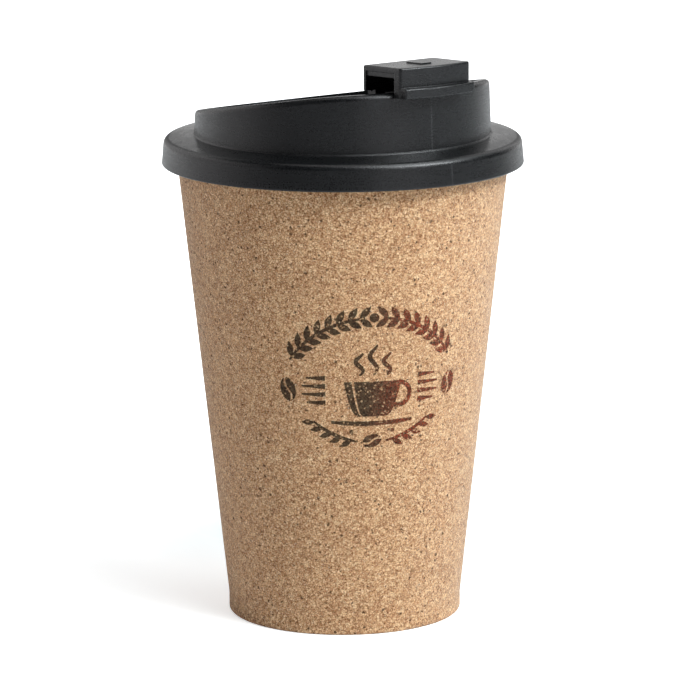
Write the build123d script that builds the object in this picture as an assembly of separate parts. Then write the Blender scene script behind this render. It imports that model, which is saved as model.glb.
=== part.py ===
from build123d import *
import os
from math import asin, cos, radians, sin, sqrt, tan

# Cork-clad travel cup with a push-on drinking lid and a flip cover over the mouth.
# Millimetres. Origin: centre of the foot, on the table. +Z up. The mouth faces -Y.

# ---- cup ----
FOOT_RADIUS = 30.93          # straight foot band under the cone
FOOT_HEIGHT = 4.4
FLARE_DEG = 6.18             # lean of the cone's side from vertical
CORK_TOP_Z = 124.3
CORK_WALL = 2.8              # measured level, not square to the side
FOOT_EDGE_ROUND = 0.7
BASE_DISC_RADIUS = 27.6
BASE_DISC_THICKNESS = 3.2
GLUE_GAP = 0.05              # glue line between bonded pieces
LINER_WALL = 1.2
LINER_FLOOR = 1.6
LINER_CORNER_ROUND = 5.0     # inside, where the wall meets the floor
LINER_FOOT_ROUND = 1.0
RIM_TOP_Z = 125.4            # top of the liner's rolled rim
RIM_RADIUS = 45.15
RIM_LIP_DROP = 4.0           # how far the rim laps down over the cork
RIM_LIP_WALL = 1.1
RIM_OUTER_ROUND = 0.7
RIM_INNER_ROUND = 0.5

# ---- lid shell ----
SKIRT_BOTTOM_Z = 120.55
SKIRT_RADIUS_BOTTOM = 47.67
SKIRT_RADIUS_TOP = 47.03
SKIRT_WALL = 1.6
LEDGE_OUTER_Z = 127.4
LEDGE_INNER_Z = 128.5
SKIRT_ROUND = 1.7
SKIRT_LIP_ROUND = 0.4
SEAT_INNER_RADIUS = 41.0     # the ledge's underside is level from here to the skirt
CROWN_RADIUS_BOTTOM = 39.0
CROWN_RADIUS_TOP = 38.35
CROWN_DRAFT_TOP_Z = 146.0
CROWN_TRIM_Z = 150.0         # block height before the sloping cut
CROWN_WALL = 1.8
CROWN_ROUND = 1.3
BEAD_RADIUS = 0.28           # fine witness bead at the foot of the crown
TILT_DEG = 10.05             # the lid's top slopes up to the mouth
TILT_AXIS_Z = 138.53         # height of the sloping top over the cup's axis
LEVEL_START = 24.0           # where the slope starts to ease off to level at the mouth
LEVEL_RADIUS = 80.0
RIM_WIDTH = 2.3
RECESS_DEPTH = 1.9
LID_FLOOR = 1.6
PLUG_RADIUS = 38.2           # ring of the lid that dips inside the liner
PLUG_WALL = 1.8
PLUG_BOTTOM_Z = 117.4
GROOVE_BOTTOM_Z = 119.4
GROOVE_TOP_Z = 122.4
GROOVE_DEPTH = 0.9
SEAT_GAP = 0.05              # lid ledge over the rim, closed
SEAL_LIP_GAP = 0.05
SEAL_LIP_INSET = 0.7         # lips' height inside the ring's two edges
SEAL_TIP_HALF = 0.15
SEAL_VALLEY_PROUD = 0.1

# ---- flip cover: distances from the cup's axis towards the mouth ----
COVER_BACK = 24.6
COVER_BACK_HALF = 11.2
COVER_FRONT_HALF = 11.15
COVER_FRONT_RADIUS = 41.7
COVER_BACK_TOP_Z = 150.1
COVER_TOP_RISE = 0.05        # rise per millimetre towards the mouth
COVER_INNER_RADIUS = 39.3
COVER_BACK_WALL = 0.9
COVER_BACK_BOTTOM_Z = 143.5
COVER_TOP_WALL = 1.4
COVER_CORNER_ROUND = 0.9
COVER_EDGE_ROUND = 0.45
TAB_RADIUS = 43.8
TAB_BOTTOM_Z = 143.1
TAB_TOP_Z = 145.8
TAB_HALF = 10.93
TAB_EDGE_ROUND = 0.4
INSERT_THICKNESS = 1.25
INSERT_INSET = 0.3
FIT_GAP = 0.05

# ---- mouth, stopper and hinge ----
MOUTH_OFFSET = 32.5          # centre of the sip hole from the axis
MOUTH_LENGTH = 9.6           # along X
MOUTH_WIDTH = 4.8
COLLAR_WALL = 0.9            # raised collar round the sip hole
COLLAR_TOP_Z = 142.5
STOPPER_FLANGE_THICKNESS = 0.7
STOPPER_EDGE_ROUND = 0.25
STOPPER_TIP_CLEAR = 0.65     # taper that lets the stopper swing out of the hole
STOPPER_SIDE_CLEAR = 0.12
STOPPER_BOTTOM_Z = 140.3
PEG_BOTTOM_Z = 141.2
PEG_INSET = 1.3
PEG_SHOULDER_INSET = 0.3
HEAD_OFFSET = 33.3           # raised head of the insert, from the axis
HEAD_LENGTH = 6.2            # along Y
HEAD_WIDTH = 3.3
HEAD_PROUD = 0.35
VENT_RADIUS = 0.8
VENT_OFFSET = 31.0
HINGE_OFFSET = 22.8
HINGE_Z = 143.5
PIN_RADIUS = 0.8
PIN_LENGTH = 13.4            # its ends sit a little inside the lugs
PIN_CLEAR = 0.05
KNUCKLE_RADIUS = 1.65
KNUCKLE_HALF = 4.0
LUG_INNER_HALF = 4.2
LUG_OUTER_HALF = 7.3

# ---- building aids ----
BIG = 200.0                  # larger than the cup
REACH = 60.0                 # wider than the lid on each side
OVERLAP = 1.0                # extra length so a cut or a joined block runs past a face
NEAR = 0.15                  # how close an edge has to be to count as found


def cork_radius(z):
    """Outer radius of the cork cone at height z."""
    return FOOT_RADIUS + (z - FOOT_HEIGHT) * tan(radians(FLARE_DEG))


def liner_radius(z):
    """Outer radius of the liner's side wall at height z."""
    return cork_radius(z) - CORK_WALL - GLUE_GAP


def turned(points):
    """Solid turned about Z from an outline of (radius, height) points."""
    return revolve(Plane.XZ * make_face(Polyline(*points, close=True)), Axis.Z)


def disc_of(radius, z0, z1):
    """Plain disc or rod along Z."""
    return Pos(0, 0, z0) * extrude(Circle(radius), z1 - z0)


def rod_along_x(radius, half, y, z):
    """Rod along X, centred on x = 0."""
    return Pos(-half, y, z) * Rot(0, 90, 0) * extrude(Circle(radius), 2 * half)


def edges_near(part, z, radius):
    """Circular edges of a turned part at one height and radius."""
    return [
        e for e in part.edges().filter_by(GeomType.CIRCLE)
        if abs(e.arc_center.Z - z) < NEAR and abs(e.radius - radius) < NEAR
    ]


# ---- cup pieces ----

def make_cork_sleeve():
    """Cork side wall: a cone on a short straight foot band."""
    bore = BASE_DISC_RADIUS + GLUE_GAP
    disc_top = BASE_DISC_THICKNESS
    sleeve = turned([
        (bore, 0), (FOOT_RADIUS, 0), (FOOT_RADIUS, FOOT_HEIGHT),
        (cork_radius(CORK_TOP_Z), CORK_TOP_Z),
        (cork_radius(CORK_TOP_Z) - CORK_WALL, CORK_TOP_Z),
        (cork_radius(disc_top) - CORK_WALL, disc_top),
        (bore, disc_top),
    ])
    return fillet(edges_near(sleeve, 0, FOOT_RADIUS), FOOT_EDGE_ROUND)


def make_cork_base():
    """Cork disc glued into the foot, flush with the table."""
    return disc_of(BASE_DISC_RADIUS, 0, BASE_DISC_THICKNESS)


def make_inner_liner():
    """Plastic inner cup whose rolled rim laps over the cork's top edge."""
    floor_z = BASE_DISC_THICKNESS + GLUE_GAP
    lap_inner = cork_radius(CORK_TOP_Z) + GLUE_GAP
    lap_top = CORK_TOP_Z + GLUE_GAP
    liner = turned([
        (0, floor_z), (liner_radius(floor_z), floor_z),
        (liner_radius(lap_top), lap_top), (lap_inner, lap_top),
        (lap_inner, RIM_TOP_Z - RIM_LIP_DROP),
        (lap_inner + RIM_LIP_WALL, RIM_TOP_Z - RIM_LIP_DROP),
        (RIM_RADIUS, RIM_TOP_Z),
        (liner_radius(RIM_TOP_Z) - LINER_WALL, RIM_TOP_Z),
        (liner_radius(floor_z + LINER_FLOOR) - LINER_WALL, floor_z + LINER_FLOOR),
        (0, floor_z + LINER_FLOOR),
    ])
    inner_floor = floor_z + LINER_FLOOR
    for z, radius, rounding in (
        (inner_floor, liner_radius(inner_floor) - LINER_WALL, LINER_CORNER_ROUND),
        (floor_z, liner_radius(floor_z), LINER_FOOT_ROUND),
        (RIM_TOP_Z, RIM_RADIUS, RIM_OUTER_ROUND),
        (RIM_TOP_Z, liner_radius(RIM_TOP_Z) - LINER_WALL, RIM_INNER_ROUND),
    ):
        liner = fillet(edges_near(liner, z, radius), rounding)
    return liner


# ---- lid pieces ----

def top_height(s, drop):
    """Height of the sloping top at a distance s towards the mouth, before it levels off."""
    return TILT_AXIS_Z + s * tan(radians(TILT_DEG)) - drop


def eased_height(s, drop):
    """Height of the lid's top where it eases to level near the mouth."""
    tilt = radians(TILT_DEG)
    angle = asin(sin(tilt) - (s - LEVEL_START) / LEVEL_RADIUS)
    return top_height(LEVEL_START, drop) + LEVEL_RADIUS * (cos(angle) - cos(tilt))


def above_top(drop):
    """Everything above the lid's top surface lowered by drop: a slope that eases to level."""
    tilt = radians(TILT_DEG)
    start_z = top_height(LEVEL_START, drop)
    run = LEVEL_RADIUS * sin(tilt)
    mid_y = LEVEL_START + LEVEL_RADIUS * (sin(tilt) - sin(tilt / 2))
    mid_z = start_z + LEVEL_RADIUS * (cos(tilt / 2) - cos(tilt))
    end_z = start_z + LEVEL_RADIUS * (1 - cos(tilt))
    low = (REACH, top_height(-REACH, drop))
    start = (-LEVEL_START, start_z)
    end = (-LEVEL_START - run, end_z)
    outline = [
        Line(low, start),
        ThreePointArc(start, (-mid_y, mid_z), end),
        Polyline(end, (-REACH, end_z), (-REACH, BIG), (REACH, BIG), low),
    ]
    return extrude(Plane.YZ * make_face(outline), REACH, both=True)


def crown_radius(z):
    """Outer radius of the crown's drafted wall at height z."""
    run = (z - LEDGE_INNER_Z) / (CROWN_DRAFT_TOP_Z - LEDGE_INNER_Z)
    return CROWN_RADIUS_BOTTOM + run * (CROWN_RADIUS_TOP - CROWN_RADIUS_BOTTOM)


def crown_core(inset, z0, z1):
    """Solid cone inside the crown, a fixed distance in from its wall."""
    return turned([
        (0, z0), (crown_radius(z0) - inset, z0), (crown_radius(z1) - inset, z1), (0, z1),
    ])


def edges_on_wall(part, radius_at):
    """Edges that lie on a coaxial wall high on the crown, given its radius at each height."""
    def on_wall(p):
        off = abs(sqrt(p.X ** 2 + p.Y ** 2) - radius_at(p.Z))
        return p.Z > LEDGE_INNER_Z + OVERLAP and off < NEAR
    return [e for e in part.edges() if all(on_wall(e @ u) for u in (0.0, 0.25, 0.5, 0.75, 1.0))]


def make_crown_block():
    """Skirt, ledge and crown as one solid block, cut by the sloping top."""
    block = turned([
        (0, SKIRT_BOTTOM_Z), (SKIRT_RADIUS_BOTTOM, SKIRT_BOTTOM_Z),
        (SKIRT_RADIUS_TOP, LEDGE_OUTER_Z), (CROWN_RADIUS_BOTTOM, LEDGE_INNER_Z),
        (crown_radius(CROWN_TRIM_Z), CROWN_TRIM_Z), (0, CROWN_TRIM_Z),
    ])
    block = fillet(edges_near(block, LEDGE_OUTER_Z, SKIRT_RADIUS_TOP), SKIRT_ROUND)
    block = fillet(edges_near(block, SKIRT_BOTTOM_Z, SKIRT_RADIUS_BOTTOM), SKIRT_LIP_ROUND)
    block -= above_top(0)
    return fillet(edges_on_wall(block, crown_radius), CROWN_ROUND)


def make_recess():
    """Shallow well in the crown's top, inside its raised rim."""
    well = crown_core(RIM_WIDTH, LEDGE_INNER_Z, CROWN_TRIM_Z)
    return well & above_top(RECESS_DEPTH)


def make_lid_hollow():
    """Everything cut out of the block from below: the skirt's channel and the crown's inside."""
    ledge_under = RIM_TOP_Z + SEAT_GAP
    channel = turned([
        (PLUG_RADIUS, PLUG_BOTTOM_Z), (SKIRT_RADIUS_BOTTOM - SKIRT_WALL, PLUG_BOTTOM_Z),
        (SKIRT_RADIUS_BOTTOM - SKIRT_WALL, SKIRT_BOTTOM_Z),
        (SKIRT_RADIUS_TOP - SKIRT_WALL, ledge_under), (SEAT_INNER_RADIUS, ledge_under),
        (PLUG_RADIUS, LEDGE_INNER_Z - SKIRT_WALL),
    ])
    inside = crown_core(CROWN_WALL, LEDGE_INNER_Z, CROWN_TRIM_Z)
    inside -= above_top(RECESS_DEPTH + LID_FLOOR)
    bore = disc_of(PLUG_RADIUS - PLUG_WALL, PLUG_BOTTOM_Z - OVERLAP, LEDGE_INNER_Z)
    return channel + inside + bore


def make_lid_shell():
    """One moulding: skirt, ledge, crown, plug ring, recessed top and hinge lugs."""
    shell = make_crown_block() - make_recess()
    plug = disc_of(PLUG_RADIUS, PLUG_BOTTOM_Z, SKIRT_BOTTOM_Z + OVERLAP)
    groove = disc_of(PLUG_RADIUS + OVERLAP, GROOVE_BOTTOM_Z, GROOVE_TOP_Z)
    groove -= disc_of(PLUG_RADIUS - GROOVE_DEPTH, GROOVE_BOTTOM_Z, GROOVE_TOP_Z)
    shell = shell + plug - make_lid_hollow() - groove
    bead = Pos(0, 0, LEDGE_INNER_Z) * Torus(CROWN_RADIUS_BOTTOM, BEAD_RADIUS)
    collar_foot = eased_height(MOUTH_OFFSET, RECESS_DEPTH + LID_FLOOR / 2)
    collar = mouth_slot(COLLAR_WALL, collar_foot, COLLAR_TOP_Z)
    shell = shell + bead + collar + make_hinge_lugs()
    mouth = mouth_slot(0, LEDGE_INNER_Z, COLLAR_TOP_Z + OVERLAP)
    vent = Pos(0, VENT_OFFSET, 0) * disc_of(VENT_RADIUS, LEDGE_INNER_Z, CROWN_TRIM_Z)
    return shell - mouth - vent - pin_bore()


def mouth_slot(grow, z0, z1):
    """Upright bar with the sip hole's slot shape, grown all round, between two heights."""
    slot = SlotOverall(MOUTH_LENGTH + 2 * grow, MOUTH_WIDTH + 2 * grow)
    return Pos(0, -MOUTH_OFFSET, z0) * extrude(slot, z1 - z0)


def pin_bore():
    """Running bore for the hinge pin."""
    return rod_along_x(PIN_RADIUS + PIN_CLEAR, LUG_OUTER_HALF + OVERLAP, -HINGE_OFFSET, HINGE_Z)


def hinge_barrel(inner_half, outer_half):
    """Length of hinge barrel from one distance to another on the +X side."""
    barrel = rod_along_x(KNUCKLE_RADIUS, (outer_half - inner_half) / 2, -HINGE_OFFSET, HINGE_Z)
    return Pos((outer_half + inner_half) / 2, 0, 0) * barrel


def make_hinge_lugs():
    """Two ears that stand on the recessed top and hold the pin."""
    barrel = hinge_barrel(LUG_INNER_HALF, LUG_OUTER_HALF)
    foot_z = top_height(HINGE_OFFSET, RECESS_DEPTH) - OVERLAP
    foot = Pos((LUG_INNER_HALF + LUG_OUTER_HALF) / 2, -HINGE_OFFSET, (foot_z + HINGE_Z) / 2)
    foot *= Box(LUG_OUTER_HALF - LUG_INNER_HALF, 2 * KNUCKLE_RADIUS, HINGE_Z - foot_z)
    lug = barrel + foot
    return lug + mirror(lug, Plane.YZ)


def make_lid_seal():
    """Silicone ring in the plug's groove, with two lips that wipe the liner."""
    inner = PLUG_RADIUS - GROOVE_DEPTH + FIT_GAP
    bottom = GROOVE_BOTTOM_Z + FIT_GAP
    top = GROOVE_TOP_Z - FIT_GAP
    valley = (bottom + top) / 2
    outline = [(inner, bottom), (PLUG_RADIUS, bottom)]
    for z in (bottom + SEAL_LIP_INSET, top - SEAL_LIP_INSET):
        tip = liner_radius(z) - LINER_WALL - SEAL_LIP_GAP
        outline += [(tip, z - SEAL_TIP_HALF), (tip, z + SEAL_TIP_HALF)]
        if z < valley:
            outline.append((PLUG_RADIUS + SEAL_VALLEY_PROUD, valley))
    return turned(outline + [(PLUG_RADIUS, top), (inner, top)])


# ---- flip cover pieces ----

def cover_top_z(s):
    """Height of the cover's top at a distance s towards the mouth."""
    return COVER_BACK_TOP_Z + (s - COVER_BACK) * COVER_TOP_RISE


def above_cover(drop):
    """Everything above the cover's top lowered by drop."""
    outline = Polyline((0, cover_top_z(0) - drop), (-REACH, cover_top_z(REACH) - drop),
                       (-REACH, BIG), (0, BIG), close=True)
    return extrude(Plane.YZ * make_face(outline), REACH, both=True)


def arc_front(half, radius):
    """End points and middle of a front edge that follows the crown's circle."""
    side = sqrt(radius ** 2 - half ** 2)
    return (half, -side), (0, -radius), (-half, -side)


def cover_plan(back, back_half, front_half, radius):
    """Outline seen from above: straight back and ends, front on the crown's circle."""
    right, middle, left = arc_front(front_half, radius)
    return make_face([
        ThreePointArc(right, middle, left),
        Polyline(left, (-back_half, -back), (back_half, -back), right),
    ])


def tab_plan():
    """Thumb tab seen from above: a band on the crown's circle with square ends."""
    outer = arc_front(TAB_HALF, TAB_RADIUS)
    inner = arc_front(TAB_HALF, COVER_INNER_RADIUS)
    return make_face([
        ThreePointArc(*outer), Line(outer[2], inner[2]),
        ThreePointArc(inner[2], inner[1], inner[0]), Line(inner[0], outer[0]),
    ])


def under_space(back, drop):
    """Room under the cover's top, open at both ends, from a given distance to the front wall."""
    room = disc_of(COVER_INNER_RADIUS, TAB_BOTTOM_Z - OVERLAP, BIG)
    room &= Pos(0, -back - BIG / 2, BIG / 2) * Box(BIG, BIG, 2 * BIG)
    return room - above_cover(drop)


def make_sip_cover():
    """Flip cover: top, thin back wall, curved front wall with thumb tab, hinge knuckle."""
    plan = cover_plan(COVER_BACK, COVER_BACK_HALF, COVER_FRONT_HALF, COVER_FRONT_RADIUS)
    block = Pos(0, 0, TAB_BOTTOM_Z) * extrude(plan, BIG - TAB_BOTTOM_Z)
    corners = block.edges().filter_by(Axis.Z).group_by(Axis.Y)[0]
    block = fillet(corners, COVER_CORNER_ROUND) - above_cover(0)
    top_face = block.faces().sort_by(Axis.Z)[-1]
    block = fillet(top_face.edges(), COVER_EDGE_ROUND)
    block -= under_space(COVER_BACK + COVER_BACK_WALL, COVER_TOP_WALL)
    below_back = Pos(0, -COVER_BACK, COVER_BACK_BOTTOM_Z - REACH) * Box(
        BIG, 4 * COVER_BACK_WALL, 2 * REACH)
    cover = block - below_back + make_tab() + make_knuckle()
    return cover - head_block(FIT_GAP) - pin_bore()


def make_tab():
    """Thumb tab along the foot of the cover's front wall, its outer edges rounded."""
    tab = Pos(0, 0, TAB_BOTTOM_Z) * extrude(tab_plan(), TAB_TOP_Z - TAB_BOTTOM_Z)
    outer_face = tab.faces().filter_by(GeomType.CYLINDER).sort_by(Axis.Y)[0]
    return fillet(outer_face.edges(), TAB_EDGE_ROUND)


def make_knuckle():
    """Hinge knuckle and the web that joins it to the cover's back wall."""
    knuckle = rod_along_x(KNUCKLE_RADIUS, KNUCKLE_HALF, -HINGE_OFFSET, HINGE_Z)
    web_back = COVER_BACK + COVER_BACK_WALL
    web = Pos(0, -(HINGE_OFFSET + web_back) / 2, HINGE_Z + KNUCKLE_RADIUS / 2) * Box(
        2 * KNUCKLE_HALF, web_back - HINGE_OFFSET, KNUCKLE_RADIUS)
    return knuckle + web


def head_block(grow):
    """Rectangular head that passes through the cover's top, grown for its window."""
    foot_z = COVER_BACK_TOP_Z - COVER_TOP_WALL - OVERLAP
    plan = Rectangle(HEAD_WIDTH + 2 * grow, HEAD_LENGTH + 2 * grow)
    block = Pos(0, -HEAD_OFFSET, foot_z) * extrude(plan, BIG - foot_z)
    return block - above_cover(-HEAD_PROUD)


def make_cover_insert():
    """Plate under the cover's top: its head shows on top, its peg carries the stopper."""
    back = COVER_BACK + COVER_BACK_WALL + FIT_GAP
    plate = under_space(back, COVER_TOP_WALL + FIT_GAP) - under_space(
        back - OVERLAP, COVER_TOP_WALL + FIT_GAP + INSERT_THICKNESS)
    plate &= Box(2 * (COVER_FRONT_HALF - INSERT_INSET), 2 * BIG, 2 * BIG)
    plate &= disc_of(COVER_INNER_RADIUS - FIT_GAP, 0, BIG)
    return plate + head_block(0) + make_peg()


def make_peg():
    """Stepped peg under the insert's plate: a shoulder on the stopper and a shank inside it."""
    plate_z = cover_top_z(MOUTH_OFFSET) - COVER_TOP_WALL - INSERT_THICKNESS / 2
    shoulder_z = COLLAR_TOP_Z + FIT_GAP + STOPPER_FLANGE_THICKNESS + FIT_GAP
    shoulder = mouth_slot(-PEG_SHOULDER_INSET, shoulder_z, plate_z)
    return shoulder + mouth_slot(-PEG_INSET, PEG_BOTTOM_Z, shoulder_z)


def make_sip_stopper():
    """Silicone cap on the peg: a flange that seals the collar and a tapered plug."""
    flange_z = COLLAR_TOP_Z + FIT_GAP
    flange = mouth_slot(COLLAR_WALL, flange_z, flange_z + STOPPER_FLANGE_THICKNESS)
    flange = fillet(flange.edges().group_by(Axis.Z)[-1], STOPPER_EDGE_ROUND)
    slots = [
        Pos(0, -MOUTH_OFFSET, z) * SlotOverall(MOUTH_LENGTH - 2 * clear, MOUTH_WIDTH - 2 * clear)
        for z, clear in ((STOPPER_BOTTOM_Z, STOPPER_TIP_CLEAR), (flange_z, STOPPER_SIDE_CLEAR))
    ]
    shank_bore = mouth_slot(FIT_GAP - PEG_INSET, PEG_BOTTOM_Z - FIT_GAP, flange_z + OVERLAP)
    return flange + loft(slots) - shank_bore


def make_hinge_pin():
    """Steel pin through the lugs and the knuckle."""
    return rod_along_x(PIN_RADIUS, PIN_LENGTH / 2, -HINGE_OFFSET, HINGE_Z)


PARTS = {
    "cork_sleeve": make_cork_sleeve,
    "cork_base": make_cork_base,
    "inner_liner": make_inner_liner,
    "lid_shell": make_lid_shell,
    "lid_seal": make_lid_seal,
    "sip_cover": make_sip_cover,
    "cover_insert": make_cover_insert,
    "sip_stopper": make_sip_stopper,
    "hinge_pin": make_hinge_pin,
}

os.makedirs("parts", exist_ok=True)
for name, make in PARTS.items():
    export_step(make(), f"parts/{name}.step")
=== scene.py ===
import math

import bpy
from mathutils import Matrix, Vector


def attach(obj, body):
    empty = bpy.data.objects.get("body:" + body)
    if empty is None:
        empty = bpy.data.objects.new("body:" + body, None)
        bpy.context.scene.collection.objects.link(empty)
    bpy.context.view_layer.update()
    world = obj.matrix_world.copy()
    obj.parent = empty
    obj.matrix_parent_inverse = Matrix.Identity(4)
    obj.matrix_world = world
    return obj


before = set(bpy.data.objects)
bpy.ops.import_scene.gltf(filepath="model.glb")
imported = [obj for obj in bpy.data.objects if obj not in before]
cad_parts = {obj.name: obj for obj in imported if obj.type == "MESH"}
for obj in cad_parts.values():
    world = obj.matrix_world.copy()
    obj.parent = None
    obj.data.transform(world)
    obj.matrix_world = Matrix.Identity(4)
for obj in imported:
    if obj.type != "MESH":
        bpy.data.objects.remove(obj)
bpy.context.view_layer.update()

MM = 0.001                   # metres in a millimetre

# ---- camera: the standing cup seen a little from above, through a long lens ----
CAMERA_DISTANCE = 1.1871     # level distance from the cup's axis, metres
CAMERA_HEIGHT = 0.3184
CAMERA_AZIMUTH = -36.0       # degrees; 0 looks along +Y
CAMERA_PITCH = -11.829
CAMERA_ROLL = -0.24
CAMERA_LENS = 235.02         # millimetres
CAMERA_SENSOR = 36.0
CAMERA_SHIFT_X = 0.00905
CAMERA_SHIFT_Y = 0.00093
CAMERA_CLIP = (0.01, 100.0)


# ------------------------------------------------------------------ node helpers

class Nodes:
    """Builds a material's node tree with short calls."""

    def __init__(self, name):
        self.mat = bpy.data.materials.new(name)
        self.mat.use_nodes = True
        self.tree = self.mat.node_tree
        self.tree.nodes.clear()
        self.out = self.tree.nodes.new("ShaderNodeOutputMaterial")
        self.bsdf = self.tree.nodes.new("ShaderNodeBsdfPrincipled")
        self.link(self.bsdf.outputs["BSDF"], self.out.inputs["Surface"])

    def link(self, a, b):
        self.tree.links.new(a, b)

    def set(self, socket, value):
        """Feeds a socket from another socket or a plain value."""
        if isinstance(value, bpy.types.NodeSocket):
            self.link(value, socket)
        else:
            socket.default_value = value

    def add(self, kind, props=None, **inputs):
        made = self.tree.nodes.new("ShaderNode" + kind)
        for key, value in (props or {}).items():
            setattr(made, key, value)
        for key, value in inputs.items():
            self.set(made.inputs[key.replace("_", " ")], value)
        return made

    def math(self, operation, a, b=0.0, clamp=False):
        made = self.tree.nodes.new("ShaderNodeMath")
        made.operation = operation
        made.use_clamp = clamp
        self.set(made.inputs[0], a)
        self.set(made.inputs[1], b)
        return made.outputs[0]

    def ramp(self, factor, stops, mode="LINEAR"):
        made = self.tree.nodes.new("ShaderNodeValToRGB")
        made.color_ramp.interpolation = mode
        while len(made.color_ramp.elements) < len(stops):
            made.color_ramp.elements.new(0.5)
        for element, (place, colour) in zip(made.color_ramp.elements, stops):
            element.position = place
            element.color = colour if len(colour) == 4 else (*colour, 1)
        self.set(made.inputs["Fac"], factor)
        return made.outputs["Color"]

    def span(self, value, low, high, to_low=0.0, to_high=1.0):
        """Maps a range of values to another, held at both ends."""
        made = self.add("MapRange", {"clamp": True}, Value=value)
        for key, number in (("From Min", low), ("From Max", high), ("To Min", to_low), ("To Max", to_high)):
            made.inputs[key].default_value = number
        return made.outputs["Result"]

    def mix(self, factor, a, b, blend="MIX"):
        made = self.tree.nodes.new("ShaderNodeMix")
        made.data_type = "RGBA"
        made.blend_type = blend
        self.set(made.inputs["Factor"], factor)
        self.set(made.inputs[6], a)
        self.set(made.inputs[7], b)
        return made.outputs[2]

    def place_mm(self):
        """The surface point in millimetres, in the cup's own frame."""
        return self.scaled(self.tree.nodes.new("ShaderNodeTexCoord").outputs["Object"], 1.0 / MM)

    def scaled(self, vector, factor):
        made = self.tree.nodes.new("ShaderNodeVectorMath")
        made.operation = "SCALE"
        self.link(vector, made.inputs[0])
        made.inputs["Scale"].default_value = factor
        return made.outputs[0]

    def stretched(self, vector, factors):
        made = self.tree.nodes.new("ShaderNodeVectorMath")
        made.operation = "MULTIPLY"
        self.link(vector, made.inputs[0])
        made.inputs[1].default_value = factors
        return made.outputs[0]

    def distance(self, vector, point):
        made = self.tree.nodes.new("ShaderNodeVectorMath")
        made.operation = "DISTANCE"
        self.link(vector, made.inputs[0])
        made.inputs[1].default_value = point
        return made.outputs["Value"]

    def part(self, vector, axis):
        """One of a vector's three numbers, by its letter."""
        return self.add("SeparateXYZ", Vector=vector).outputs[axis]

    def pick(self, cells, channel):
        """Random number of each cell of a pattern."""
        return self.add("SeparateColor", Color=cells.outputs["Color"]).outputs[channel]

    def shift(self, vector, offset):
        made = self.tree.nodes.new("ShaderNodeVectorMath")
        made.operation = "ADD"
        self.set(made.inputs[0], vector)
        self.set(made.inputs[1], offset)
        return made.outputs[0]

    def noise(self, vector, scale, detail=2.0, rough=0.5):
        return self.add("TexNoise", Vector=vector, Scale=scale, Detail=detail, Roughness=rough)

    def cells(self, vector, scale, feature="F1"):
        return self.add("TexVoronoi", {"feature": feature}, Vector=vector, Scale=scale)

    def drift(self, vector, scale, reach):
        """Random offset, up to reach, that bends whatever pattern it is added to."""
        return self.scaled(self.noise(vector, scale, 3.0).outputs["Color"], reach)

    def bump(self, height, distance, strength=1.0, before=None):
        made = self.add("Bump", Height=height, Distance=distance, Strength=strength)
        if before is not None:
            self.link(before, made.inputs["Normal"])
        return made.outputs["Normal"]


def grey(v):
    return (v, v, v, 1)


# ------------------------------------------------------------------ materials

# Pattern sizes are counts per millimetre. The shifts keep patterns of like size apart.
GRANULES = 1.6
SMALL_GRANULES = 3.6
GRAIN = 6.2
JOINT_PATCHES = 2.1
BARK_SPECKS = 0.95
PALE_FLECKS = 1.35
CLOUDS = 0.09
BARK_SHARE = 0.25            # of the bark pattern's cells: these hold a speck, the rest a mere dot
BARK_SIZES = (0.38, 0.05)    # radius of the biggest speck and of the dots, of a cell
FLECK_SHARE = 0.26
FLECK_SIZES = (0.36, 0.0)
SMALL_SHIFT = (7.3, 2.1, 4.4)
BARK_SHIFT = (3.7, 9.2, 1.3)
FLECK_SHIFT = (5.1, 0.7, 8.8)
CORK_RELIEF = 0.00009        # metres
CORK_TONES = [
    (0.00, (0.18, 0.066, 0.025, 1)),
    (0.10, (0.31, 0.134, 0.06, 1)),
    (0.30, (0.48, 0.248, 0.123, 1)),
    (0.62, (0.65, 0.392, 0.213, 1)),
    (0.85, (0.75, 0.498, 0.288, 1)),
    (1.00, (0.825, 0.6, 0.38, 1)),
]
CORK_GRAIN = [(0.3, (0.58, 0.50, 0.42, 1)), (0.5, (1.0, 0.99, 0.98, 1)), (0.7, (1.09, 1.12, 1.17, 1))]
JOINT = (0.3, 0.2, 0.12, 1)
BARK = (0.075, 0.032, 0.015, 1)
FLECK = (0.86, 0.7, 0.5, 1)
CLOUD_TINTS = [(0.3, (0.965, 0.955, 0.95, 1)), (0.7, (1.03, 1.03, 1.03, 1))]


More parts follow.
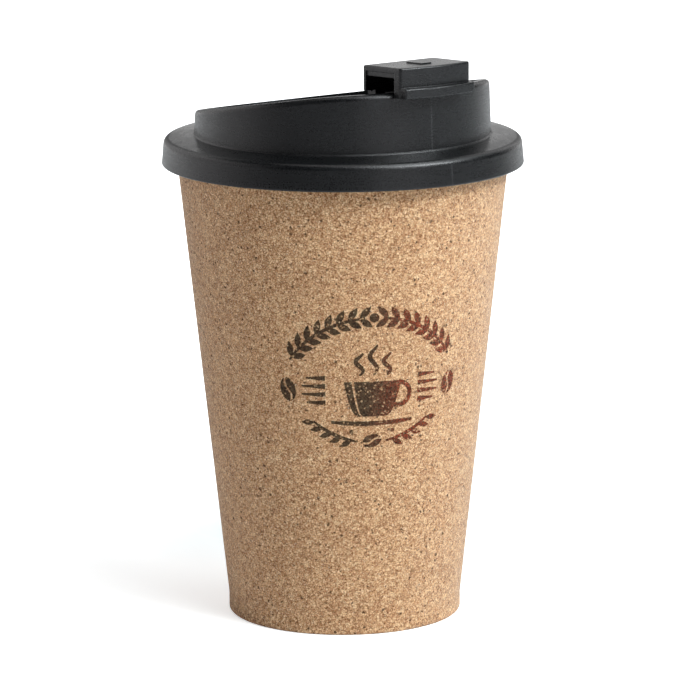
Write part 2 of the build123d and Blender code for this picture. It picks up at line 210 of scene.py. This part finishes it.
def cork_nodes(name, sheen=0.3):
    """Fine agglomerated cork: pressed granules, short dark joints, bark specks and pale flecks."""
    n = Nodes(name)
    at = n.place_mm()
    at_bent = n.shift(at, n.drift(at, 1.8, 0.5))
    at_crumpled = n.shift(at_bent, n.drift(at, 4.0, 0.7))

    granule = n.cells(at_bent, GRANULES)
    small = n.cells(n.shift(at_bent, SMALL_SHIFT), SMALL_GRANULES)
    edge = n.cells(at_bent, GRANULES, "DISTANCE_TO_EDGE").outputs["Distance"]
    colour = n.mix(0.5, n.ramp(n.pick(granule, "Red"), CORK_TONES), n.ramp(n.pick(small, "Red"), CORK_TONES))
    grain = n.noise(at, GRAIN, 3.0, 0.6).outputs["Fac"]
    colour = n.mix(1.0, colour, n.ramp(grain, CORK_GRAIN), "MULTIPLY")

    joint = n.math("MULTIPLY", n.span(edge, 0.02, 0.13, 1.0, 0.0),
                   n.span(n.noise(at, JOINT_PATCHES).outputs["Fac"], 0.42, 0.54, 0.2, 0.95))
    colour = n.mix(joint, colour, n.mix(1.0, colour, JOINT, "MULTIPLY"))

    bark = n.cells(n.shift(at_crumpled, BARK_SHIFT), BARK_SPECKS)
    bark_size = n.span(n.pick(bark, "Green"), 0.0, BARK_SHARE, *BARK_SIZES)
    bark_mask = n.math("LESS_THAN", bark.outputs["Distance"], bark_size)
    colour = n.mix(n.math("MULTIPLY", bark_mask, 0.9), colour, BARK)

    fleck = n.cells(n.shift(at_crumpled, FLECK_SHIFT), PALE_FLECKS)
    fleck_size = n.span(n.pick(fleck, "Blue"), 0.0, FLECK_SHARE, *FLECK_SIZES)
    fleck_mask = n.math("LESS_THAN", fleck.outputs["Distance"], fleck_size)
    colour = n.mix(n.math("MULTIPLY", fleck_mask, 0.3), colour, FLECK)

    cloud = n.noise(at, CLOUDS).outputs["Fac"]
    colour = n.mix(1.0, colour, n.ramp(cloud, CLOUD_TINTS), "MULTIPLY")

    relief = n.math("ADD", n.math("MULTIPLY", n.pick(granule, "Green"), 0.6), n.math("MULTIPLY", grain, 0.7))
    relief = n.math("SUBTRACT", relief, n.math("MULTIPLY", bark_mask, 0.6))
    relief = n.math("ADD", relief, n.span(edge, 0.0, 0.12))
    n.link(n.bump(relief, CORK_RELIEF), n.bsdf.inputs["Normal"])
    n.set(n.bsdf.inputs["Roughness"], n.span(grain, 0.3, 0.7, 0.82, 0.6))
    n.bsdf.inputs["Specular IOR Level"].default_value = 0.18
    n.set(n.bsdf.inputs["Sheen Weight"], n.span(bark_mask, 0.0, 1.0, sheen, sheen / 6))
    n.bsdf.inputs["Sheen Roughness"].default_value = 0.22
    return n, colour


def cork_material():
    n, colour = cork_nodes("cork")
    n.link(colour, n.bsdf.inputs["Base Color"])
    return n.mat


INK_TINT = (0.13, 0.13, 0.13, 1)
INK_RED = (0.48, 0.15, 0.12, 1)
INK_LIT_RED_SPAN = (-17.0, -7.0)    # painted light: the ink turns from brown to red-brown between these X, in millimetres, towards the lit right side
INK_GRAIN = 3.2
INK_WEAR = 2.4
INK_WEAR_SHIFT = (2.2, 6.1, 3.3)


def ink_material():
    """Brown ink soaked into cork: the granules show through, a few have shed it."""
    n, colour = cork_nodes("print_ink", 0.1)
    at = n.place_mm()
    soaked = n.mix(1.0, colour, INK_TINT, "MULTIPLY")
    # painted light: some granules are tinted red-brown, more of them towards the lit right side
    red_pick = n.math("GREATER_THAN", n.noise(at, INK_GRAIN, 3.0, 0.65).outputs["Fac"], 0.5)
    red = n.math("MULTIPLY", red_pick, n.span(n.part(at, "X"), *INK_LIT_RED_SPAN))
    soaked = n.mix(red, soaked, n.mix(1.0, colour, INK_RED, "MULTIPLY"))
    worn = n.cells(n.shift(at, INK_WEAR_SHIFT), INK_WEAR)
    shed = n.math("MULTIPLY", n.math("GREATER_THAN", n.pick(worn, "Red"), 0.93), 0.55)
    n.link(n.mix(shed, soaked, colour), n.bsdf.inputs["Base Color"])
    n.bsdf.inputs["Specular IOR Level"].default_value = 0.12
    return n.mat


EDGE_ROUND = 0.00025         # metres
# pale colour for the mould's parting line, and for edges, where it is partly rubbed wear and partly a painted
# highlight
PALE_EDGE_AND_SEAM = (0.06, 0.06, 0.062, 1)
PLASTIC_GLINT = (1.0, 0.955, 0.975, 1)     # a touch warm, against the cool light from the right
SPARK_GRAIN = 2.4            # per millimetre
PLASTIC_PATCHES = 0.12
RUB_AND_GLINT_PATCHES = 0.9
FLOW_STREAKS = (0.12, 0.12, 1.3)


def plastic_material(name, base, rough_low, rough_high, texture):
    """Injection-moulded plastic: spark-eroded grain, faint flow streaks, and edges painted paler, partly as
    rubbed wear and partly as a painted highlight.
    """
    n = Nodes(name)
    at = n.place_mm()
    spark = n.noise(at, SPARK_GRAIN, 3.0, 0.7).outputs["Fac"]
    patch = n.noise(at, PLASTIC_PATCHES).outputs["Fac"]
    shade = n.ramp(patch, [(0.3, grey(0.85)), (0.7, grey(1.15))])
    speck = n.ramp(spark, [(0.35, grey(0.78)), (0.65, grey(1.24))])
    colour = n.mix(1.0, n.mix(1.0, base, shade, "MULTIPLY"), speck, "MULTIPLY")

    rounded = n.add("Bevel", {"samples": 4}, Radius=EDGE_ROUND).outputs["Normal"]
    turned = n.add("VectorMath", {"operation": "DOT_PRODUCT"})
    n.link(rounded, turned.inputs[0])
    n.link(n.add("NewGeometry").outputs["Normal"], turned.inputs[1])
    # painted highlight, partly real wear: edges are painted paler, as rubbed plastic and as the light that
    # edges catch
    edge = n.span(turned.outputs["Value"], 0.97, 0.75)
    rub_and_glint = n.math("MULTIPLY", edge, n.span(n.noise(at, RUB_AND_GLINT_PATCHES, 3.0).outputs["Fac"], 0.4, 0.65))
    n.link(n.mix(n.math("MULTIPLY", rub_and_glint, 0.5), colour, PALE_EDGE_AND_SEAM), n.bsdf.inputs["Base Color"])

    flow = n.noise(n.stretched(at, FLOW_STREAKS), 1.0, 3.0, 0.6).outputs["Fac"]
    rough = n.span(spark, 0.3, 0.7, rough_low, rough_high)
    rough = n.math("ADD", rough, n.span(flow, 0.35, 0.65, -0.03, 0.03))
    n.link(rough, n.bsdf.inputs["Roughness"])
    n.link(n.bump(spark, texture, before=rounded), n.bsdf.inputs["Normal"])
    n.bsdf.inputs["Specular IOR Level"].default_value = 0.36
    n.bsdf.inputs["Specular Tint"].default_value = PLASTIC_GLINT
    return n


LID_BLACK = (0.004, 0.0042, 0.0046, 1)
LID_ROUGH = (0.24, 0.34)
LID_TEXTURE = 0.00004        # metres
PARTING_HALF = 0.35          # half the parting line's width, in millimetres
PARTING_STEEP = (0.5, 0.3)   # the line fades out as a wall leans past these, as its normal's Z


def lid_material():
    return plastic_material("lid_plastic", LID_BLACK, *LID_ROUGH, LID_TEXTURE).mat


def shell_material():
    """Lid plastic with the faint mould parting line that runs down the lid's sides at X = 0."""
    n = plastic_material("shell_plastic", LID_BLACK, *LID_ROUGH, LID_TEXTURE)
    line = n.span(n.math("ABSOLUTE", n.part(n.place_mm(), "X")), PARTING_HALF, 0.0)
    lean = n.math("ABSOLUTE", n.part(n.add("NewGeometry").outputs["True Normal"], "Z"))
    line = n.math("MULTIPLY", line, n.span(lean, *PARTING_STEEP))
    colour = n.bsdf.inputs["Base Color"].links[0].from_socket
    n.link(n.mix(n.math("MULTIPLY", line, 0.35), colour, PALE_EDGE_AND_SEAM), n.bsdf.inputs["Base Color"])
    return n.mat


LINER_BLACK = (0.02, 0.02, 0.021, 1)
SILICONE_GREY = (0.06, 0.061, 0.065, 1)


def liner_material():
    return plastic_material("liner_plastic", LINER_BLACK, 0.3, 0.42, 0.000012).mat


def silicone_material():
    n = plastic_material("silicone", SILICONE_GREY, 0.55, 0.7, 0.00001)
    n.bsdf.inputs["Sheen Weight"].default_value = 0.15
    return n.mat


DRAW_LINES = (0.3, 12.0, 12.0)


def steel_material():
    """Drawn stainless wire: fine lines along X."""
    n = Nodes("pin_steel")
    lines = n.noise(n.stretched(n.place_mm(), DRAW_LINES), 1.0, 3.0).outputs["Fac"]
    n.link(n.ramp(lines, [(0.3, grey(0.42)), (0.7, grey(0.62))]), n.bsdf.inputs["Base Color"])
    n.bsdf.inputs["Metallic"].default_value = 1.0
    n.set(n.bsdf.inputs["Roughness"], n.span(lines, 0.3, 0.7, 0.22, 0.36))
    n.link(n.bump(lines, 0.000004), n.bsdf.inputs["Normal"])
    return n.mat


def assign(node, material):
    """Gives a CAD node its finish."""
    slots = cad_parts[node].data.materials
    if not slots:
        slots.append(material)
    for i in range(len(slots)):
        slots[i] = material


# ------------------------------------------------------------------ printed badge
# A plain coffee badge in brown ink. Its flat drawing is in millimetres, u to the right
# and v up from the badge's middle, and is wrapped on the cork cone as a thin film.

BADGE_TURN = math.radians(-114.5)    # where its middle sits round the cup
BADGE_HEIGHT = 68.0
INK_PROUD = 0.03
INK_SUNK = 0.06
FOOT_BAND = 6.0                      # the cork's straight foot ends below this height
SAME_RADIUS = 0.01


def cork_cone():
    """The cork's straight outside, as (height, radius) at its foot and at its top, in millimetres."""
    points = [(v.co.z / MM, v.co.to_2d().length / MM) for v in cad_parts["cork_sleeve"].data.vertices]
    band = [p for p in points if p[0] < FOOT_BAND]
    widest = max(r for z, r in band)
    return (max(z for z, r in band if widest - r < SAME_RADIUS), widest), max(points)


def cork_radius(z):
    """Outer radius of the cork at a height, in millimetres."""
    (low, r_low), (high, r_high) = CORK_CONE
    return r_low + (r_high - r_low) * (z - low) / (high - low)


def arc(cu, cv, radius, start, end, steps):
    """Points on a circle between two bearings in degrees."""
    turns = [math.radians(start + (end - start) * i / steps) for i in range(steps + 1)]
    return [(cu + radius * math.cos(t), cv + radius * math.sin(t)) for t in turns]


def bulge(i, steps):
    """0 at both ends of a run of steps and 1 in its middle."""
    return math.sin(math.pi * i / steps)


LEAF_STEPS = 8
THINNEST = 0.12              # millimetres
BEAN_STEPS = 14
BEAN_GAP = 0.28              # half the gap's width
BEAN_SWAY = 0.13             # how far the gap sways, of the bean's width
DOT_STEPS = 16


class Drawing:
    """Flat faces in millimetres, turned into one thin closed film on the cork."""

    def __init__(self):
        self.points = []
        self.faces = []

    def grid(self, rows):
        """Faces between neighbouring rows of (u, v) points."""
        start, wide = len(self.points), len(rows[0])
        for row in rows:
            self.points += row
        for i in range(len(rows) - 1):
            for j in range(wide - 1):
                a = start + i * wide + j
                self.faces.append((a, a + 1, a + wide + 1, a + wide))

    def stroke(self, path, widths):
        """Ribbon along a path, with one width for each of its points."""
        left, middle, right = [], [], []
        for i, (u, v) in enumerate(path):
            u0, v0 = path[max(i - 1, 0)]
            u1, v1 = path[min(i + 1, len(path) - 1)]
            run = math.hypot(u1 - u0, v1 - v0)
            du, dv = -(v1 - v0) / run * widths[i] / 2, (u1 - u0) / run * widths[i] / 2
            left.append((u + du, v + dv))
            middle.append((u, v))
            right.append((u - du, v - dv))
        self.grid([left, middle, right])

    def leaf(self, u, v, turn, length, width):
        """Pointed leaf whose foot is at (u, v)."""
        along = [length * i / LEAF_STEPS for i in range(LEAF_STEPS + 1)]
        path = [(u + math.cos(turn) * reach, v + math.sin(turn) * reach) for reach in along]
        self.stroke(path, [max(THINNEST, width * bulge(i, LEAF_STEPS)) for i in range(LEAF_STEPS + 1)])

    def bean(self, u, v, turn, length, width):
        """Coffee bean: an ellipse parted by an S-shaped gap."""
        c, s = math.cos(turn), math.sin(turn)
        for side in (-1, 1):
            rows = [[], [], []]
            for i in range(BEAN_STEPS + 1):
                along = -math.cos(math.pi * i / BEAN_STEPS) * length / 2
                half = bulge(i, BEAN_STEPS) * width / 2
                groove = math.sin(along / length * math.tau) * width * BEAN_SWAY
                inner = min(max(groove + side * BEAN_GAP, -half), half)
                outer = side * half
                for row, across in zip(rows, (inner, (inner + outer) / 2, outer)):
                    row.append((u + c * along - s * across, v + s * along + c * across))
            self.grid(rows if side < 0 else rows[::-1])

    def dot(self, u, v, radius):
        """Round dot."""
        start = len(self.points)
        self.points += [(u, v)] + arc(u, v, radius, 0, 360, DOT_STEPS)[:-1]
        for i in range(DOT_STEPS):
            self.faces.append((start, start + 1 + i, start + 1 + (i + 1) % DOT_STEPS))

    def wrap(self, u, v, lift):
        """Point on the cone, lifted square to the cup's axis."""
        z = BADGE_HEIGHT + v
        turn = BADGE_TURN + u / cork_radius(BADGE_HEIGHT)
        reach = cork_radius(z) + lift
        return Vector((reach * math.cos(turn), reach * math.sin(turn), z)) * MM

    def film(self, name):
        """Closed thin solid: the drawing's faces outside, the same inside, walls between."""
        def area(face):
            ring = [self.points[i] for i in face]
            return sum(a[0] * b[1] - b[0] * a[1] for a, b in zip(ring, ring[1:] + ring[:1]))
        outside = [face if area(face) > 0 else face[::-1] for face in self.faces]
        count = len(self.points)
        edges = dict.fromkeys((a, b) for face in outside for a, b in zip(face, face[1:] + face[:1]))
        walls = [(a, a + count, b + count, b) for a, b in edges if (b, a) not in edges]
        inside = [tuple(i + count for i in face[::-1]) for face in outside]
        verts = [self.wrap(u, v, INK_PROUD) for u, v in self.points]
        verts += [self.wrap(u, v, -INK_SUNK) for u, v in self.points]
        mesh = bpy.data.meshes.new(name)
        mesh.from_pydata(verts, [], outside + walls + inside)
        mesh.validate()
        made = bpy.data.objects.new(name, mesh)
        bpy.context.scene.collection.objects.link(made)
        return made


def mirrored(points, side):
    return [(side * u, v) for u, v in points]


def leaf_on_arc(art, side, middle, radius, bearing, lean, length, width):
    """Leaf that springs from an arc round (0, middle) and leans from the arc's own run."""
    turn = math.radians(bearing) + math.pi / 2 + lean
    (u, v), _ = arc(0, middle, radius, bearing, bearing, 1)
    art.leaf(side * u, v, turn if side > 0 else math.pi - turn, length, width)


LAUREL_MIDDLE = -7.5
LAUREL_RADIUS = 26.0
LAUREL_STEM = (34, 85)       # bearings of its ends, in degrees
LAUREL_STEM_STEPS = 30
LAUREL_STEM_WIDTHS = (0.55, 0.35)    # at the ends, and what its middle adds
LAUREL_LEAVES = 8
LAUREL_FIRST_LEAF = 36
LAUREL_LEAF_SPAN = 46
LAUREL_LEAF_PAIR = ((-0.75, 4.3), (0.75, 3.9))     # lean in radians, length
LAUREL_LEAF_WIDTH = 1.75
LAUREL_DOT = 1.25


def draw_laurel(art):
    """Arched spray of leaves over the cup, in two halves that meet at a dot."""
    thin, extra = LAUREL_STEM_WIDTHS
    widths = [thin + extra * bulge(i, LAUREL_STEM_STEPS) for i in range(LAUREL_STEM_STEPS + 1)]
    stem = arc(0, LAUREL_MIDDLE, LAUREL_RADIUS, *LAUREL_STEM, LAUREL_STEM_STEPS)
    for side in (-1, 1):
        art.stroke(mirrored(stem, side), widths)
        for i in range(LAUREL_LEAVES):
            bearing = LAUREL_FIRST_LEAF + i * LAUREL_LEAF_SPAN / (LAUREL_LEAVES - 1)
            for lean, length in LAUREL_LEAF_PAIR:
                leaf_on_arc(art, side, LAUREL_MIDDLE, LAUREL_RADIUS, bearing, lean, length, LAUREL_LEAF_WIDTH)
    art.dot(0, LAUREL_MIDDLE + LAUREL_RADIUS, LAUREL_DOT)


CUP_FOOT = -8.0
CUP_TALL = 9.4
CUP_HALF_TOP = 7.6
CUP_HALF_FOOT = 3.9
CUP_STRIPES = ((0.0, 0.13), (0.17, 1.0))     # across the cup's width, with a bare glint between
CUP_ROWS = 12
CUP_COLUMNS = 8
HANDLE_MIDDLE = (CUP_HALF_TOP - 0.6, CUP_FOOT + 0.62 * CUP_TALL)
HANDLE_RADIUS = 3.1
HANDLE_SPAN = (-118, 92)     # bearings of its ends, in degrees
HANDLE_STEPS = 24
HANDLE_WIDTH = 1.25
SAUCER_HALF = 11
SAUCER_V = CUP_FOOT - 1.9
SAUCER_CURVE = 0.004
SAUCER_WIDTH = 1.2
SAUCER_THIN = 9              # past this it has its end width
SAUCER_END_WIDTH = 0.8
STEAM = ((-3.6, 6.0), (0.0, 8.2), (3.6, 6.0))      # middle and height of each curl
STEAM_GAP = 1.7
STEAM_STEPS = 18
STEAM_SWAY = 0.95
STEAM_TURN = 0.42            # radians of sway for each step
STEAM_WIDTHS = (0.35, 0.85)  # at the ends, and what the middle adds


def draw_coffee_cup(art):
    """Side view of a cup with a handle, its saucer and three curls of steam."""
    for low, high in CUP_STRIPES:
        rows = []
        for i in range(CUP_ROWS + 1):
            t = i / CUP_ROWS
            half = CUP_HALF_FOOT + (CUP_HALF_TOP - CUP_HALF_FOOT) * math.sqrt(t)
            across = [low + (high - low) * j / CUP_COLUMNS for j in range(CUP_COLUMNS + 1)]
            rows.append([(half * (2 * place - 1), CUP_FOOT + t * CUP_TALL) for place in across])
        art.grid(rows)
    handle = arc(*HANDLE_MIDDLE, HANDLE_RADIUS, *HANDLE_SPAN, HANDLE_STEPS)
    art.stroke(handle, [HANDLE_WIDTH] * len(handle))
    saucer = [(u, SAUCER_V + SAUCER_CURVE * u * u) for u in range(-SAUCER_HALF, SAUCER_HALF + 1)]
    art.stroke(saucer, [SAUCER_WIDTH if abs(u) < SAUCER_THIN else SAUCER_END_WIDTH for u, _ in saucer])
    thin, extra = STEAM_WIDTHS
    for middle, tall in STEAM:
        curl = [(middle + STEAM_SWAY * math.sin(i * STEAM_TURN),
                 CUP_FOOT + CUP_TALL + STEAM_GAP + tall * i / STEAM_STEPS) for i in range(STEAM_STEPS + 1)]
        art.stroke(curl, [thin + extra * bulge(i + 1, STEAM_STEPS + 2) for i in range(STEAM_STEPS + 1)])


SIDE_BEAN = (22.4, -1.0)
SIDE_BEAN_SIZE = (6.4, 4.2)
BEAN_LEAN = 12               # degrees
RULES = ((2.4, 17.4), (0.2, 18.6), (-2.0, 18.6), (-4.2, 17.4))    # height and outer end of each
RULE_START = 12.4
RULE_STEPS = 8
RULE_WIDTHS = (0.45, 0.9)    # at the outer end, and what the inner end adds


def draw_sides(art):
    """Beans at both ends and short tapering rules between them and the cup."""
    thin, extra = RULE_WIDTHS
    widths = [thin + extra * (1 - i / RULE_STEPS) for i in range(RULE_STEPS + 1)]
    u, v_bean = SIDE_BEAN
    for side in (-1, 1):
        art.bean(side * u, v_bean, math.radians(90 - side * BEAN_LEAN), *SIDE_BEAN_SIZE)
        for v, end in RULES:
            step = (end - RULE_START) / RULE_STEPS
            art.stroke([(side * (RULE_START + step * i), v) for i in range(RULE_STEPS + 1)], widths)


SWAG_MIDDLE = 9.5
SWAG_RADIUS = 24.5
SWAG_STEM = (-81, -50)       # bearings of its ends, in degrees
SWAG_STEPS = 20
SWAG_WIDTHS = (0.5, 0.5)     # at the ends, and what the middle adds
SWAG_LEAVES = 5
SWAG_FIRST_LEAF = -77
SWAG_LEAF_STEP = 6.5
SWAG_LEAF = (-0.7, 3.6, 1.5)           # lean in radians, length, width
SWAG_DOT = (5.6, -12.0, 0.55)
SWAG_BEAN = (0, -14.6)
SWAG_BEAN_SIZE = (5.2, 3.5)


def draw_swag(art):
    """Shallow curved stems under the cup, with leaves, two dots and a bean between them."""
    thin, extra = SWAG_WIDTHS
    widths = [thin + extra * bulge(i, SWAG_STEPS) for i in range(SWAG_STEPS + 1)]
    u, v, radius = SWAG_DOT
    for side in (-1, 1):
        art.stroke(mirrored(arc(0, SWAG_MIDDLE, SWAG_RADIUS, *SWAG_STEM, SWAG_STEPS), side), widths)
        for i in range(SWAG_LEAVES):
            leaf_on_arc(art, side, SWAG_MIDDLE, SWAG_RADIUS, SWAG_FIRST_LEAF + i * SWAG_LEAF_STEP, *SWAG_LEAF)
        art.dot(side * u, v, radius)
    art.bean(*SWAG_BEAN, math.radians(BEAN_LEAN), *SWAG_BEAN_SIZE)


def make_badge():
    art = Drawing()
    draw_laurel(art)
    draw_coffee_cup(art)
    draw_sides(art)
    draw_swag(art)
    badge = art.film("printed_badge")
    badge.data.materials.append(ink_material())
    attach(badge, "cup")


# ------------------------------------------------------------------ stage

FLOOR_HALF = 20.0            # metres
FLOOR_TONES = [(0.3, (0.885, 0.9, 0.915, 1)), (0.7, (0.915, 0.93, 0.945, 1))]
FLOOR_PATCHES = 0.004        # per millimetre
NEAR_GLOW = 0.51
FAR_GLOW = 0.6               # added to the near glow at the far end of its reach
GLOW_REACH = (150.0, 600.0)  # millimetres from the cup's axis
BACKDROP_GLOW = 0.5          # seen by every ray, not by the camera alone
BACKDROP_REACH = (900.0, 1500.0)
# painted shadow: round this middle the floor's glow is cut away, so the floor shows darker and the cup's
# shadow reaches further back
SHADE_LEFT = 22.0            # from the cup's axis to the middle of the shadow's back part
SHADE_BACK = 90.0
SHADE_REACH = (15.0, 50.0)   # millimetres from that middle


def shade_centre():
    """Middle of the shadow's back part on the floor, in millimetres."""
    turn = math.radians(CAMERA_AZIMUTH)
    return (-SHADE_LEFT * math.cos(turn) - SHADE_BACK * math.sin(turn),
            -SHADE_LEFT * math.sin(turn) + SHADE_BACK * math.cos(turn), 0.0)


def make_floor():
    """Wide pale floor. To the camera it glows as well, except in the back part of the cup's shadow."""
    n = Nodes("floor_white")
    at = n.place_mm()
    n.link(n.ramp(n.noise(at, FLOOR_PATCHES).outputs["Fac"], FLOOR_TONES), n.bsdf.inputs["Base Color"])
    n.bsdf.inputs["Roughness"].default_value = 0.9
    n.bsdf.inputs["Specular IOR Level"].default_value = 0.1
    n.bsdf.inputs["Emission Color"].default_value = (1, 1, 1, 1)
    away = n.distance(at, (0.0, 0.0, 0.0))
    # painted light and shadow: the glow lifts the floor to white, grows with distance so the cup's shadow
    # fades out, and is cut away round the shade centre
    glow = n.math("ADD", n.span(n.distance(at, shade_centre()), *SHADE_REACH, 0.0, NEAR_GLOW),
                  n.span(away, *GLOW_REACH, 0.0, FAR_GLOW))
    seen = n.add("LightPath").outputs["Is Camera Ray"]
    backdrop = n.span(away, *BACKDROP_REACH, 0.0, BACKDROP_GLOW)
    n.link(n.math("MAXIMUM", n.math("MULTIPLY", seen, glow), backdrop), n.bsdf.inputs["Emission Strength"])
    mesh = bpy.data.meshes.new("floor")
    corners = [(-1, -1), (1, -1), (1, 1), (-1, 1)]
    mesh.from_pydata([(x * FLOOR_HALF, y * FLOOR_HALF, 0) for x, y in corners], [], [(0, 1, 2, 3)])
    floor = bpy.data.objects.new("floor", mesh)
    bpy.context.scene.collection.objects.link(floor)
    mesh.materials.append(n.mat)


def make_world():
    """White to the camera. It gives no light: all of that comes from the soft boxes."""
    world = bpy.data.worlds.new("studio")
    bpy.context.scene.world = world
    world.use_nodes = True
    tree = world.node_tree
    tree.nodes.clear()
    out = tree.nodes.new("ShaderNodeOutputWorld")
    white = tree.nodes.new("ShaderNodeBackground")
    path = tree.nodes.new("ShaderNodeLightPath")
    white.inputs["Color"].default_value = (1, 1, 1, 1)
    tree.links.new(path.outputs["Is Camera Ray"], white.inputs["Strength"])
    tree.links.new(white.outputs[0], out.inputs["Surface"])


# Lights stand at bearings in degrees, counted from the camera's side of the cup and positive to the
# right. Each kind has one place: its distance from the cup's axis, height, width and tallness in metres.
LIGHT_TARGET_Z = 0.09
STRIP_PLACE = (0.9, 0.42, 0.24, 0.85)
STRIPS = {                   # bearing: watts, tall soft strips that stand round the cup
    -168: 0.18, -152: 0.55, -136: 0.66, -120: 0.92, -104: 0.80, -88: 0.78, -72: 0.50, -56: 0.16,
    24: 0.44, 40: 0.49, 56: 0.15, 136: 0.45, 152: 0.68, 168: 0.26, 180: 0.55,
}
HIGH_PLACE = (0.55, 0.85, 0.6, 0.6)
HIGH_BOXES = {50: 6.2, 75: 0.8, 100: 2.1}
MIDDLE_PLACE = (0.8, 0.66, 0.3, 0.3)
MIDDLE_BOXES = {50: 4.55, 70: 4.45}
KEY_TINT = (0.905, 0.99, 1.0)          # of the boxes on the right, a little cool
TOP_PLACE = (0.01, 1.1, 0.6, 0.6)
TOP_WATTS = 1.5


def soft_box(name, bearing, place, watts, tint=(1, 1, 1)):
    """Area light that faces the cup."""
    distance, height, width, tall = place
    turn = math.radians(CAMERA_AZIMUTH - 90.0 + bearing)
    data = bpy.data.lights.new(name, "AREA")
    data.shape = "RECTANGLE"
    data.size, data.size_y = width, tall
    data.energy = watts
    data.color = tint
    light = bpy.data.objects.new(name, data)
    light.location = (distance * math.cos(turn), distance * math.sin(turn), height)
    facing = Vector((0, 0, LIGHT_TARGET_Z)) - light.location
    light.rotation_euler = facing.to_track_quat("-Z", "Y").to_euler()
    bpy.context.scene.collection.objects.link(light)


def make_lights():
    for bearing, watts in STRIPS.items():
        soft_box("strip_%d" % bearing, bearing, STRIP_PLACE, watts)
    for bearing, watts in HIGH_BOXES.items():
        soft_box("high_%d" % bearing, bearing, HIGH_PLACE, watts, KEY_TINT)
    for bearing, watts in MIDDLE_BOXES.items():
        soft_box("middle_%d" % bearing, bearing, MIDDLE_PLACE, watts, KEY_TINT)
    soft_box("top", 0, TOP_PLACE, TOP_WATTS)


def make_camera():
    data = bpy.data.cameras.new("camera")
    data.sensor_width = CAMERA_SENSOR
    data.lens = CAMERA_LENS
    data.shift_x, data.shift_y = CAMERA_SHIFT_X, CAMERA_SHIFT_Y
    data.clip_start, data.clip_end = CAMERA_CLIP
    camera = bpy.data.objects.new("camera", data)
    turn = math.radians(CAMERA_AZIMUTH)
    camera.location = (CAMERA_DISTANCE * math.sin(turn), -CAMERA_DISTANCE * math.cos(turn), CAMERA_HEIGHT)
    look = Matrix.Rotation(turn, 4, "Z") @ Matrix.Rotation(math.radians(90.0 + CAMERA_PITCH), 4, "X")
    look = look @ Matrix.Rotation(math.radians(CAMERA_ROLL), 4, "Z")
    camera.rotation_euler = look.to_euler()
    bpy.context.scene.collection.objects.link(camera)
    bpy.context.scene.camera = camera


# ------------------------------------------------------------------ build

lid_plastic = lid_material()
shell_plastic = shell_material()
silicone = silicone_material()
cork = cork_material()
assign("cork_sleeve", cork)
assign("cork_base", cork)
assign("inner_liner", liner_material())
assign("lid_shell", shell_plastic)
assign("sip_cover", lid_plastic)
assign("cover_insert", lid_plastic)
assign("lid_seal", silicone)
assign("sip_stopper", silicone)
assign("hinge_pin", steel_material())
CORK_CONE = cork_cone()
make_badge()

make_floor()
make_world()
make_lights()
make_camera()
bpy.context.scene.view_settings.view_transform = "Standard"
